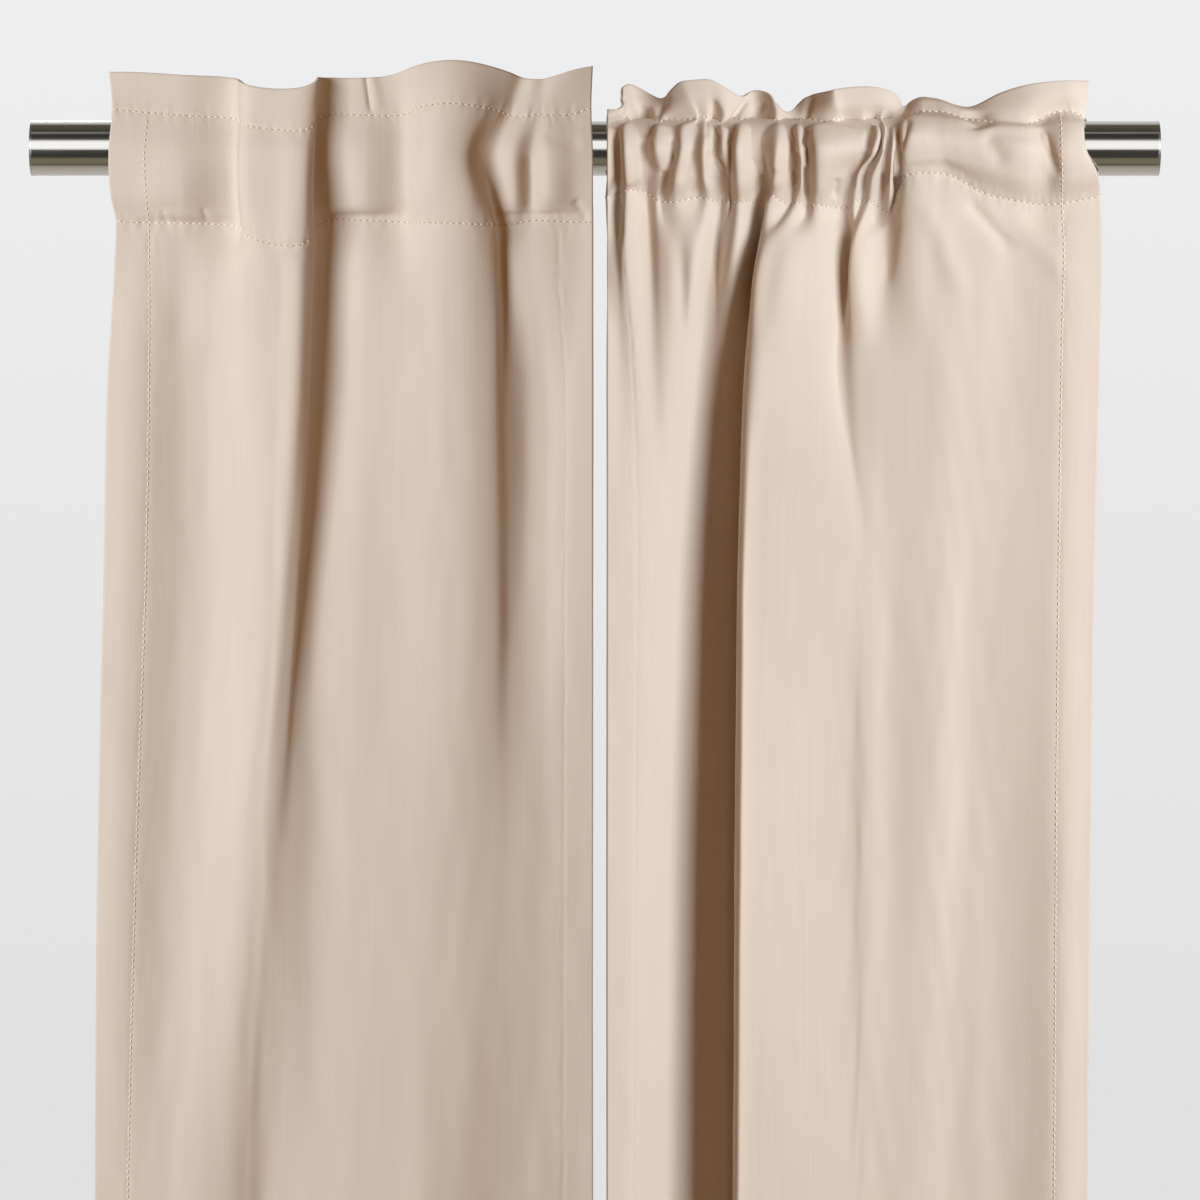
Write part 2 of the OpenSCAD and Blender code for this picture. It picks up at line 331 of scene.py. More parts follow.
def add_bump(tree, shader, height, strength, distance):
    inputs = {"Height": height, "Strength": strength, "Distance": distance}
    tree.links.new(node(tree, "ShaderNodeBump", inputs).outputs[0], shader.inputs["Normal"])


def ramp(tree, value, stops):
    """Colour ramp through (place, colour) stops."""
    n = node(tree, "ShaderNodeValToRGB", {"Fac": value})
    while len(n.color_ramp.elements) < len(stops):
        n.color_ramp.elements.new(0.5)
    for element, (place, colour) in zip(n.color_ramp.elements, stops):
        element.position = place
        element.color = (*colour, 1)
    return n.outputs[0]


def linear(r, g, b):
    """8-bit display colour to scene-linear."""
    return tuple((c / 255 / 12.92) if c <= 10 else ((c / 255 + 0.055) / 1.055) ** 2.4 for c in (r, g, b))


def curtain_material(name):
    """Smooth satin-faced blackout weave: fine warp and weft, faint vertical streaks, soft sheen."""
    material, tree, shader = new_material(name)
    uv = node(tree, "ShaderNodeUVMap", uv_map="UVMap").outputs[0]
    streaks = noise(tree, mapped(tree, uv, (900, 9, 1)), 3.0)
    slubs = noise(tree, mapped(tree, uv, (60, 1400, 1)), 2.0)
    clouds = noise(tree, mapped(tree, uv, (14, 5, 1)), 2.0)
    tone = weighted(tree, streaks, 0.5, clouds, 0.5)
    base = linear(222, 212, 204)
    dark = [c * 0.965 for c in base]
    light = [min(1.0, c * 1.03) for c in base]
    colour = ramp(tree, tone, [(0.36, dark), (0.5, base), (0.66, light)])
    tree.links.new(colour, shader.inputs["Base Color"])
    threads = {"Vector": mapped(tree, uv, (2200, 2200, 1)), "Scale": 0.16, "Distortion": 0.6}
    warp = node(tree, "ShaderNodeTexWave", threads, bands_direction="X").outputs["Fac"]
    weft = node(tree, "ShaderNodeTexWave", threads, bands_direction="Y").outputs["Fac"]
    weave = weighted(tree, warp, 0.6, weft, 0.4)
    height = math_node(tree, "ADD", weave, math_node(tree, "MULTIPLY", slubs, 0.8))
    add_bump(tree, shader, height, 0.10, 0.0004)
    shader.inputs["Roughness"].default_value = 0.72
    shader.inputs["Specular IOR Level"].default_value = 0.25
    shader.inputs["Sheen Weight"].default_value = 0.25
    shader.inputs["Sheen Roughness"].default_value = 0.5
    shader.inputs["Sheen Tint"].default_value = (*linear(235, 222, 208), 1)
    return material


def thread_material():
    """Pale spun polyester thread. The small discs in the needle holes get a dark brown as painted shade."""
    material, tree, shader = new_material("sewing_thread")
    coords = node(tree, "ShaderNodeTexCoord").outputs["Object"]
    twist = node(tree, "ShaderNodeTexNoise", {"Vector": coords, "Scale": 3000.0}).outputs[0]
    pale = ramp(tree, twist, [(0.3, linear(238, 226, 210)), (0.7, linear(252, 245, 235))])
    # The mask is 1 on the thread and 0 on the discs in the needle holes, which take the painted shade colour.
    shade = node(tree, "ShaderNodeAttribute", attribute_name="painted_shade_mask").outputs["Fac"]
    # Painted shade: the dark brown of the shaded needle holes.
    painted_hole_shade = (*linear(150, 120, 98), 1)
    colours = {"Factor": shade, 6: painted_hole_shade, 7: pale}
    colour = node(tree, "ShaderNodeMix", colours, data_type="RGBA").outputs[2]
    tree.links.new(colour, shader.inputs["Base Color"])
    add_bump(tree, shader, twist, 0.3, 0.0002)
    shader.inputs["Roughness"].default_value = 0.6
    return material


def steel_material(name, colour, roughness, grain, scratch=0.08):
    """Brushed metal. grain scales the brushing along X, Y and Z."""
    material, tree, shader = new_material(name)
    coords = node(tree, "ShaderNodeTexCoord").outputs["Object"]
    brushing = noise(tree, mapped(tree, coords, grain), 4.0)
    smudges = noise(tree, coords, 3.0, scale=30.0)
    dark = [c * 0.9 for c in colour]
    tree.links.new(ramp(tree, brushing, [(0.3, dark), (0.7, colour)]), shader.inputs["Base Color"])
    wear = {"Value": weighted(tree, brushing, 0.7, smudges, 0.3), "From Min": 0.3, "From Max": 0.7,
            "To Min": roughness * 0.8, "To Max": roughness * 1.25}
    tree.links.new(node(tree, "ShaderNodeMapRange", wear).outputs[0], shader.inputs["Roughness"])
    add_bump(tree, shader, brushing, scratch, 0.0003)
    shader.inputs["Metallic"].default_value = 1.0
    return material


# ---------------------------------------------------------------- left panel

def left_sections():
    """Plan sections of the left panel, from the top edge down. Its columns, from the outer edge inwards:
    0 to 3 over the outer tab, 4 to 8 the first pleat, 9 to 11 over the middle tab, 12 to 16 the second
    pleat, 17 to 21 over the inner tab. The first pleat's folded-under columns end part of the way down."""
    every = range(22)
    without_fold = [c for c in every if c != 7]
    without_pleat = [c for c in every if c not in (7, 8)]
    return [
        section(every,
                [0, 12, 50, 89, 93, 118, 142, 147, 146, 152, 178, 200, 212, 236, 260, 277, 286, 294, 301,
                 308, 324, 335],
                [13, 14, 16, 17, 28, 33, 34, 31, 24, 16, 17, 20, 27, 31, 27, 20, 14, 17, 16, 18, 19, 17],
                [53, 53, 51, 48, 45, 41, 45, 49, 49, 49, 49, 52, 57, 61, 58, 53, 49, 48, 48, 50, 55, 57]),
        section(every,
                [2, 14, 50, 89, 93, 116, 140, 144, 142, 150, 178, 206, 213, 235, 257, 270, 277, 288, 297,
                 305, 322, 334],
                [16, 16, 17, 18, 31, 37, 38, 34, 26, 18, 18, 19, 27, 35, 31, 22, 17, 19, 18, 19, 18, 17],
                [27, 26, 23, 20, 17, 13, 14, 17, 19, 23, 23, 24, 28, 31, 29, 26, 23, 22, 24, 23, 24, 28]),
        section(every,
                [0, 12, 50, 89, 92, 116, 140, 143, 140, 149, 178, 206, 213, 231, 248, 255, 267, 281, 292,
                 304, 324, 335],
                [22, 23, 26, 25, 36, 41, 42, 37, 28, 23, 26, 24, 32, 40, 37, 28, 22, 28, 22, 27, 25, 25], -2),
        section(every,
                [1, 13, 50, 89, 92, 116, 139, 142, 139, 149, 178, 206, 213, 232, 252, 261, 267, 281, 291,
                 304, 324, 335],
                [20, 21, 25, 20, 34, 40, 41, 35, 24, 17, 24, 22, 31, 39, 38, 29, 16, 23, 17, 25, 22, 23],
                 -32),
        section(every,
                [4, 15, 50, 90, 94, 116, 138, 142, 141, 149, 178, 206, 214, 232, 254, 266, 271, 281, 291,
                 304, 324, 335],
                [15, 15, 15, 14, 29, 37, 38, 33, 24, 13, 14, 15, 26, 36, 36, 28, 14, 14, 13, 15, 15, 17],
                [-50, -51, -52, -55, -59, -66, -64, -60, -56, -51, -50, -51, -51, -51, -52, -52, -53, -52,
                 -50, -50, -51, -51]),
        section(every,
                [3, 15, 50, 86, 95, 118, 137, 141, 140, 149, 178, 205, 216, 232, 254, 267, 272, 282, 292,
                 304, 324, 335],
                [16, 17, 17, 21, 30, 36, 37, 32, 22, 12, 18, 21, 27, 34, 34, 27, 13, 15, 16, 18, 19, 21],
                 -78),
        section(every,
                [-2, 12, 53, 83, 96, 116, 134, 138, 137, 147, 178, 204, 218, 234, 254, 267, 274, 287, 300,
                 311, 324, 335],
                [18, 20, 13, 20, 28, 34, 35, 30, 21, 12, 17, 22, 27, 32, 32, 27, 17, 10, 10, 14, 19, 22],
                 -160),
        section(every,
                [-6, 8, 52, 82, 96, 112, 125, 130, 130, 139, 174, 202, 218, 236, 255, 268, 277, 289, 301,
                 311, 324, 335],
                [18, 20, 12, 19, 26, 31, 31, 28, 22, 15, 19, 23, 27, 30, 30, 26, 18, 13, 13, 16, 20, 22],
                 -300),
        section(without_fold,
                [-11, 2, 42, 74, 88, 102, 112, 124, 137, 169, 200, 216, 236, 252, 265, 277, 289, 299, 309,
                 325, 335],
                [17, 19, 13, 19, 25, 28, 27, 22, 18, 20, 23, 25, 26, 25, 23, 21, 20, 19, 19, 20, 21], -480),
        section(without_pleat,
                [-15, -4, 32, 62, 76, 92, 106, 135, 167, 198, 212, 232, 248, 262, 275, 287, 297, 308, 325,
                 335],
                [17, 18, 20, 23, 22, 18, 14, 17, 23, 27, 29, 28, 26, 23, 21, 20, 20, 20, 20, 21], -735),
        section(without_pleat,
                [-16, -4, 32, 64, 78, 96, 114, 144, 172, 199, 211, 231, 246, 260, 273, 286, 296, 307, 326,
                 335],
                [15, 18, 24, 25, 20, 12, 9, 15, 24, 30, 30, 26, 21, 17, 15, 16, 18, 21, 25, 25], LEFT_HEM_Z),
    ]


# ---------------------------------------------------------------- right panel

def right_sections():
    """Plan sections of the right panel, from the ruffle's edge down. Odd columns up to 25 are the valleys
    between gathers, even ones their crests; 26 to 33 are the smoother cloth towards the outer edge. Below
    the pocket the small gathers run out, so fewer columns are named."""
    every = range(34)
    upper = [0, 1, 2, 3, 4, 6, 8, 9, 12, 13, 14, 15, 17, 18, 19, 22, 25, 26, 27, 28, 30, 31, 33]
    lower = [0, 2, 3, 4, 6, 8, 9, 12, 13, 14, 15, 17, 18, 22, 25, 26, 28, 30, 31, 33]
    rod = ROD_R + WRAP_GAP
    top_z = [12, 14, 20, 18, 18, 18, 21, 22, 22, 20, 15, 14, 18, 19, 20, 17, 17, 14, 19, 18, 19, 20, 22, 18,
             17, 16,
             22, 26, 17, 15, 20, 26, 24, 21]
    top_x = [0, 8, 15, 27, 36, 44, 60, 64, 69, 75, 80, 84, 92, 107, 118, 129, 134, 138, 152, 172, 178, 185,
             190, 194,
             198, 201, 209, 232, 262, 290, 300, 314, 327, 332]
    top_depth = [8, 0, 7, -2, 9, 5, 10, 9, 10, 3, 9, 2, 5, -1, 8, 1, 6, 3, 10, 3, 6, 1, 6, 0, 4, -1,
                 4, 5, 8, 12, 9, 8, 7, 5]
    low_z = [-34, -31, -29, -31, -36, -37, -37, -34, -35, -37, -37, -37, -37, -37, -32, -39, -37, -40, -39,
             -40, -37,
             -36, -37, -41, -43, -27, -20, -18, -31, -37, -39, -38, -35, -33]
    return [
        section(every,
                [0, 12, 10, 22, 36, 40, 48, 56, 66, 78, 88, 93, 98, 108, 116, 125, 131, 137, 150, 165, 174,
                 184, 195,
                 204, 205, 208, 214, 230, 252, 276, 294, 314, 326, 334],
                [16, 16, 2, -8, -6, 6, 13, 16, 16, 14, 11, 3, -4, -2, 7, 2, -6, -2, 12, 15, 14, 13, 11,
                 5, -4, -9, -10, -9, -3, 8, 13, 12, 9, 6],
                [27, 28, 42, 43, 34, 36, 45, 47, 48, 45, 38, 35, 39, 40, 34, 24, 27, 36, 39, 42, 43, 43, 41,
                 35, 27, 30, 34, 35, 28, 40, 45, 47, 47, 47]),
        section(every,
                [0, 11, 13, 24, 37, 43, 54, 60, 68, 77, 84, 88, 95, 107, 117, 127, 133, 138, 151, 169, 177,
                 185, 193,
                 200, 202, 205, 212, 231, 257, 283, 297, 314, 327, 333],
                [18, 13, 6, -6, 2, 7, 14, 15, 15, 12, 13, 4, 0, -3, 10, 2, 0, 2, 15, 13, 13, 11, 11,
                 4, 0, -6, -4, -3, 5, 12, 14, 12, 9, 6],
                [22, 23, 32, 32, 27, 27, 34, 36, 37, 33, 27, 25, 29, 31, 29, 21, 22, 25, 29, 30, 31, 31, 32,
                 27, 22, 23, 30, 33, 24, 28, 33, 37, 36, 35]),
        section(every, top_x, top_depth, top_z),
        wrapped(every,
                [0, 7, 12, 27, 35, 46, 52, 63, 68, 76, 80, 86, 91, 105, 118, 128, 132, 137, 143, 183, 187,
                 189, 192,
                 195, 198, 202, 205, 232, 262, 290, 301, 314, 328, 330],
                [3, 0, 4, 0, 4, 1, 4, 2, 4, 0, 3, 0, 4, 0, 4, 0, 3, 1, 5, 1, 3, 0, 3, 0, 2, 0,
                 4, 5, 3, 2, 1, 4, 3, 1], [36] * 25 + [42, 48, 50, 46, 42, 40, 40, 40, 40], rod),
        wrapped(every,
                [0, 7.5, 12, 27, 34, 46, 51, 61, 66, 76, 80, 85, 89, 104, 117, 129, 133, 138, 143, 180, 185,
                 188, 191,
                 194, 197, 201, 203, 230, 262, 290, 303, 314, 329, 331],
                [6, 0, 9, 1, 8, 3, 7, 4, 8, 1, 5, 2, 9, 0, 9, 1, 7, 2, 11, 3, 6, 1, 7, 1, 5, 0,
                 7, 6, 4, 5, 1, 5, 3, 1], [0] * 25 + [10, 16, 18, 12, 4, 0, 0, 0, 0], rod),
        wrapped(every,
                [0, 8, 13, 29, 37, 42, 47, 62, 67, 79, 83, 86, 90, 108, 115, 130, 134, 139, 144, 171, 175,
                 180, 184,
                 193, 196, 201, 204, 233, 262, 290, 305, 315, 331, 339],
                [7, 0, 9, 1, 4, 3, 8, 4, 7, 0, 3, 2, 9, -1, 9, 1, 7, 2, 9, 1, 5, 1, 6, 0, 5, -1,
                 4, 4, 5, 6, 3, 6, 4, 2], [-42] * 25 + [-24, -14, -12, -26, -40, -42, -42, -42, -42], rod),
        section(every,
                [0, 8, 13, 28, 34, 38, 47, 63, 69, 80, 84, 86, 91, 108, 113, 128, 132, 139, 144, 168, 172,
                 177, 182,
                 190, 196, 201, 205, 235, 262, 290, 304, 316, 332, 343],
                [6, -2, 10, 1, 6, 5, 9, 6, 8, -1, 3, 1, 9, -7, 11, 3, 7, 1, 8, -2, 5, 1, 6, -2, 3, 4,
                 16, 18, 12, 8, 6, 7, 6, 5], low_z),
        section(upper,
                [0, 7, 12, 30, 36, 50, 66, 77, 90, 107, 106, 112, 130, 144, 170, 172, 195, 204, 230, 258,
                 300, 317, 344],
                [6, 6, 13, 5, 10, 12, 11, -5, 9, -14, 8, 17, 16, 12, -2, 13, 5, 13, 15, 12, 9, 10, 7], -62),
        section(upper,
                [0, 8, 18, 32, 39, 51, 61, 71, 84, 100, 97, 101, 118, 142, 162, 173, 196, 208, 232, 258, 298,
                 316, 343],
                [17, 14, 14, 10, 11, 8, 1, -10, -14, -22, 9, 22, 21, 15, 6, 12, 12, 13, 14, 11, 10, 12, 9],
                 -140),
        section(lower,
                [0, 22, 36, 42, 51, 60, 70, 86, 99, 93, 95, 108, 138, 182, 200, 214, 257, 296, 315, 341],
                [25, 19, 12, 8, 1, -7, -16, -24, -28, 13, 28, 26, 21, 14, 13, 14, 11, 11, 13, 10], -245),
        section(lower,
                [0, 21, 33, 39, 49, 58, 69, 84, 96.5, 90.5, 92.5, 105, 136, 184, 202, 214, 256, 294, 314,
                 339],
                [27, 19, 11, 6, -3, -13, -22, -29, -31, 13, 32, 29, 21, 14, 12, 13, 9, 11, 15, 12], -420),
        section(lower,
                [0, 19, 30, 36, 45, 54, 66, 84, 95.5, 88.5, 90.5, 103.5, 136, 184, 202, 214, 256, 294, 314,
                 338],
                [27, 19, 10, 5, -5, -15, -24, -30, -32, 13, 32, 29, 22, 14, 12, 11, 8, 11, 16, 13], -735),
        section(lower,
                [0, 20, 34, 41, 52, 62, 72, 88, 100, 92, 96, 112, 138, 184, 204, 216, 256, 294, 314, 340],
                [24, 21, 13, 8, -1, -10, -19, -27, -31, 6, 26, 30, 26, 12, 5, 4, 8, 17, 20, 17], RIGHT_HEM_Z),
    ]


# ---------------------------------------------------------------- building a panel

def crease(grid, start, end, depth, width):
    """A soft ridge, or a groove if depth is negative, along a line seen from the front (x, z)."""
    x, z = grid[..., 0], grid[..., 2]
    dx, dz = end[0] - start[0], end[1] - start[1]
    size = math.hypot(dx, dz)
    along = ((x - start[0]) * dx + (z - start[1]) * dz) / size**2
    across = ((x - start[0]) * dz - (z - start[1]) * dx) / size
    fade = np.clip(along * 5, 0, 1) * np.clip((1 - along) * 3, 0, 1)
    fade = fade * fade * (3 - 2 * fade)
    return depth * fade * bell(across, width)


def surface_relief(grid, flat, rows, columns, panel_seed, creases):
    """Pulls the cloth in along its stitch lines, puckers it beside them, and adds creases and unevenness."""
    u, v = flat[..., 0], flat[..., 1]
    proud = 0.5 * waves(u, v, panel_seed, 90, 520) + 0.12 * waves(u, v, panel_seed + 1, 28, 130)
    pucker = waves(u, v, panel_seed + 2, 8, 30)
    for row in rows:
        away = v - v[row][None, :]
        proud += 0.22 * pucker * bell(away, 7) - 0.55 * bell(away, 1.3)
    down = np.clip((v - v[rows[1]][None, :]) / 10, 0, 1)
    for column in columns:
        away = u - u[:, column][:, None]
        proud += (0.14 * pucker * bell(away, 6) - 0.3 * bell(away, 1.6)) * down
    for start, end, depth, width in creases:
        proud += crease(grid, start, end, depth, width)
    return grid + normals(grid) * proud[..., None]


def flat_coordinates(grid, width):
    """Each grid point's place on the flat cloth: even steps across, and the mean running length down."""
    rows, cols = grid.shape[:2]
    flat = np.empty((rows, cols, 2))
    flat[..., 0] = np.linspace(0, width, cols)[None, :]
    flat[..., 1] = lengths(grid, 0).mean(1)[:, None]
    return flat


def nearest(values, target):
    return int(np.argmin(np.abs(np.asarray(values) - target)))


def stitch_run(points, out, spacing, holes):
    """Stitches along a line of points on the cloth: arches of thread, each sunk at both ends, with a small
    disc of painted shade in every gap, where the thread goes through the cloth.
    Returns vertices, faces and each vertex's shade: 1 on the thread, 0 on the discs of painted shade."""
    run = np.concatenate([[0], np.cumsum(np.linalg.norm(np.diff(points, axis=0), axis=1))])
    count = max(1, round(run[-1] / spacing))
    pitch = run[-1] / count
    sides, rings = THREAD_SIDES, len(THREAD_RISE)
    verts, faces, shades = [], [], []

    def frame_at(at):
        at = np.clip(at, 0, run[-1])
        columns = [[np.interp(at, run, part[:, i]) for i in range(3)] for part in (points, out)]
        return [np.stack(c, axis=1) for c in columns]

    for k in range(count):
        p, o = frame_at((k + 0.5) * pitch + np.linspace(-0.5, 0.5, rings) * pitch * STITCH_SHARE)
        t = p[-1] - p[0]
        t /= max(np.linalg.norm(t), 1e-9)
        size = THREAD_R * THREAD_SWELL
        base = len(verts)
        for ring in range(rings):
            n = o[ring] - t * np.dot(o[ring], t)
            n /= max(np.linalg.norm(n), 1e-9)
            b = np.cross(t, n)
            for side in range(sides):
                a = 2 * math.pi * side / sides
                up = THREAD_RISE[ring] + size[ring] * math.cos(a)
                verts.append(p[ring] + n * up + b * size[ring] * math.sin(a))
                shades.append(1.0)
        for ring in range(rings - 1):
            for side in range(sides):
                i0 = base + ring * sides + side
                i1 = base + ring * sides + (side + 1) % sides
                faces.append((i0, i1, i1 + sides, i0 + sides))
        faces.append(tuple(base + side for side in reversed(range(sides))))
        faces.append(tuple(base + (rings - 1) * sides + side for side in range(sides)))
        # The disc in each gap, which the thread material colours as painted shade.
        if holes and k:
            p, o = frame_at(np.array([k * pitch - 0.3, k * pitch, k * pitch + 0.3]))
            t = p[2] - p[0]
            t /= max(np.linalg.norm(t), 1e-9)
            n = o[1] / np.linalg.norm(o[1])
            b = np.cross(t, n)
            base = len(verts)
            for lift, radius in HOLE_RINGS:
                for side in range(HOLE_SIDES):
                    a = 2 * math.pi * side / HOLE_SIDES
                    verts.append(p[1] + n * lift + (t * math.cos(a) + b * math.sin(a)) * radius)
                    shades.append(0.0)
            for ring in range(len(HOLE_RINGS) - 1):
                for side in range(HOLE_SIDES):
                    i0 = base + ring * HOLE_SIDES + side
                    i1 = base + ring * HOLE_SIDES + (side + 1) % HOLE_SIDES
                    faces.append((i0, i1, i1 + HOLE_SIDES, i0 + HOLE_SIDES))
            top = base + (len(HOLE_RINGS) - 1) * HOLE_SIDES
            faces.append(tuple(base + side for side in reversed(range(HOLE_SIDES))))
            faces.append(tuple(top + side for side in range(HOLE_SIDES)))
    return verts, faces, shades


def stitch_object(name, lines, x0, material):
    """One mesh of all the stitches along several lines: (points, outward normals, whether the holes show)."""
    verts, faces, shades = [], [], []
    for points, out, holes in lines:
        v, f, shade = stitch_run(points + out * (CLOTH_T / 2 + 0.05), out, STITCH_PITCH, holes)
        faces += [tuple(i + len(verts) for i in face) for face in f]
        verts += v
        shades += shade
    obj = mesh_object(name, world(np.array(verts), x0), faces, material)
    # Shade per vertex: 1 keeps the thread pale, 0 gives the discs their painted shade.
    layer = obj.data.attributes.new("painted_shade_mask", "FLOAT", "POINT")
    layer.data.foreach_set("value", np.array(shades, np.float32))
    return obj


class Panel:
    """One curtain panel: its lofted face, and the layers, hems and stitches that follow the face."""

    def __init__(self, side, sections, knot_sections, top_mark, low_mark, x0, count, steps, seed, creases):
        """knot_sections are those whose outline spaces the columns; top_mark and low_mark are the sections
        on the two rows of stitches; count is the grid's columns and steps its row spacings, in mm."""
        self.side, self.x0 = side, x0
        chords = [chord_knots(sections[i][1][:, :2]) for i in knot_sections]
        knots = np.mean(chords, axis=0)
        grid, marks = loft(sections, knots, count, steps)
        soften(grid, marks[top_mark] - 3, 0.010 * count)
        self.width = float(lengths(grid, 1)[marks[low_mark]:, -1].mean())
        flat = flat_coordinates(grid, self.width)
        self.top_row, self.low_row = marks[top_mark], marks[low_mark]
        self.hem_row = nearest(flat[:, 0, 1], flat[-1, 0, 1] - BOTTOM_HEM)
        # The side hems' stitches: first_col at low x, last_col at high x.
        self.first_col = nearest(flat[0, :, 0], SIDE_HEM - HEM_INSET)
        self.last_col = nearest(flat[0, :, 0], self.width - SIDE_HEM + HEM_INSET)
        stitch_rows = [self.top_row, self.low_row, self.hem_row + 1]
        self.grid = surface_relief(grid, flat, stitch_rows, [self.first_col, self.last_col], seed, creases)
        clear_of_rod(self.grid, (self.top_row - 6, self.low_row + 1), ROD_R + ROD_GAP + CLOTH_T / 2)
        self.flat = flat
        self.normals = normals(self.grid)
        self.length = float(flat[-1, 0, 1])

    def layer(self, name, rows, cols):
        """A further layer of cloth behind part of the face."""
        part = (slice(*rows), slice(*cols))
        grid = self.grid[part] - self.normals[part] * LAYER
        return cloth_object(name, grid, self.x0, CLOTH, self.flat[part])

    def row_line(self, row):
        return self.grid[row], self.normals[row], True

    def column_line(self, column, rows):
        return self.grid[slice(*rows), column], self.normals[slice(*rows), column], False

    def blind_line(self, column, rows):
        """A column of stitches that shows on the back only."""
        out = self.normals[slice(*rows), column]
        return self.grid[slice(*rows), column] - out * LAYER, -out, False


# ---------------------------------------------------------------- materials in use

CLOTH = curtain_material("curtain_cloth")
THREAD = thread_material()
ROD_STEEL = steel_material("rod_steel", (0.80, 0.79, 0.76), 0.13, (6, 900, 900))
CAP_STEEL = steel_material("cap_steel", (0.78, 0.77, 0.75), 0.25, (500, 500, 500))
POST_STEEL = steel_material("post_steel", (0.74, 0.73, 0.71), 0.24, (500, 40, 500))
PLATE_ZINC = steel_material("plate_zinc", (0.62, 0.63, 0.64), 0.42, (160, 160, 160), 0.15)
SCREW_STEEL = steel_material("fastener_steel", (0.30, 0.30, 0.31), 0.38, (700, 700, 700))
NUT_ZINC = steel_material("nut_zinc", (0.70, 0.62, 0.38), 0.36, (400, 400, 400))


def dress_metal():
    """Gives each CAD metal piece its material."""
    looks = {
        "rod_tube": ROD_STEEL,
        "end_cap": CAP_STEEL,
        "wall_plate": PLATE_ZINC,
        "post": POST_STEEL,
        "post_screw": SCREW_STEEL,
        "rivet_nut": NUT_ZINC,
        "grub_screw": SCREW_STEEL,
    }
    for name, obj in nodes.items():
        kind = name.removeprefix("left_").removeprefix("right_")
        if kind in looks:
            obj.data.materials.clear()
            obj.data.materials.append(looks[kind])


# ---------------------------------------------------------------- building

ROOT = "rod_and_brackets"
LEFT_JOINT, RIGHT_JOINT = "left_leading_edge_slide", "right_leading_edge_slide"


def gather(obj, joint, fixed_x, leading_x, anchor_x, body=ROOT):
    """Attaches a cloth piece to its body, and makes its thickness part of the mesh."""
    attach(obj, body)
    thick = bpy.data.meshes.new_from_object(obj.evaluated_get(bpy.context.evaluated_depsgraph_get()))
    obj.modifiers.clear()
    obj.data = thick
    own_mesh(obj)


dress_metal()

# Creases: start and end seen from the front (x, z), height (negative for a groove) and width, in mm.
LEFT_CREASES = [
    ((177, 58), (182, 20), -2.2, 1.8),
    ((181, 58), (188, 24), 1.0, 3.5),
    ((291, -2), (293, -50), -2.0, 4.0),
    ((322, -34), (332, -52), -1.6, 3.0),
    ((300, 8), (330, 2), -1.0, 6.0),
    ((52, -52), (50, -150), -1.5, 10.0),
    ((14, -50), (96, -53), -1.6, 3.0),
    ((30, -44), (92, -46), 1.2, 4.0),
    ((138, -47), (208, -47), -2.0, 3.0),
    ((142, -40), (204, -40), 1.4, 4.5),
    ((262, -46), (330, -46), -1.6, 2.6),
    ((64, -40), (68, -52), -1.2, 1.8),
    ((36, -42), (40, -51), -0.9, 1.8),
]
RIGHT_CREASES = [
    ((6, 13), (8, -32), -2, 2.0),
    ((8, -32), (7, -70), -2, 3),
    ((26, 31), (28, 6), -3.5, 4),
    ((24, 7), (25, -27), -1.5, 2),
    ((41, -14), (34, -38), -3, 4),
    ((45, 8), (45, -13), -2, 2),
    ((61, 1), (50, -26), -1.2, 3),
    ((70, 22), (69, 7), -2, 2),
    ((72, 1), (71, -29), -1.6, 4),
    ((76, 13), (76, -10), -3.5, 2.2),
    ((76, -7), (85, -22), -3, 2.2),
    ((84, -18), (83, -38), -3, 2.4),
    ((88, 18), (84, 0), -3, 2),
    ((101, 17), (103, -14), -3, 2.5),
    ((115, -13), (109, -38), -3.5, 3),
    ((129, 11), (128, -21), -2.5, 2),
    ((130, 0), (131, -32), -3, 3),
    ((139, 15), (135, 0), -2.5, 2.2),
    ((137, -10), (139, -37), -2.5, 2.4),
    ((183, 20), (179, -3), -2.5, 2.4),
    ((181, 0), (169, -31), -4, 3),
    ((160, -20), (158, -36), -2.5, 2.4),
    ((195, 15), (192, -35), -3.5, 2.4),
    ((209, 22), (201, -6), -3, 2.4),
    ((201, 0), (202, -32), -4, 2.6),
    ((5, 39), (12, 31), -2, 2),
    ((43, 38), (33, 18), -2.2, 2.2),
    ((73, 34), (80, 19), -2, 2.2),
    ((98, 35), (80, 11), -2.6, 2.2),
    ((111, 34), (98, 14), -2.6, 2.4),
    ((125, 22), (128, 3), -2.5, 2.2),
    ((143, 38), (137, 17), -2.4, 2.2),
    ((258, 27), (258, 11), -3.5, 8),
    ((253, 13), (302, 13), 1.8, 3),
    ((300, 15), (313, -22), -2.6, 3),
    ((229, -6), (240, -21), -0.8, 5),
    ((261, 10), (275, -13), -1.6, 6),
    ((248, -34), (285, -74), -2.2, 5),
    ((275, -38), (328, -99), 1.2, 8),
    ((219, -32), (251, -112), 1.6, 8),
    ((201, -45), (193, -102), -1.5, 4),
]
LEFT_STEPS = [1.5] * 5 + [3, 5, 6, 6, 7]
RIGHT_STEPS = [1.3] * 7 + [3, 5, 6, 6, 7]
left = Panel("left", left_sections(), [2, 4], 1, 4, LEFT_X, 320, LEFT_STEPS, 1, LEFT_CREASES)
right = Panel("right", right_sections(), [4, 6], 2, 6, RIGHT_X, 380, RIGHT_STEPS, 11, RIGHT_CREASES)


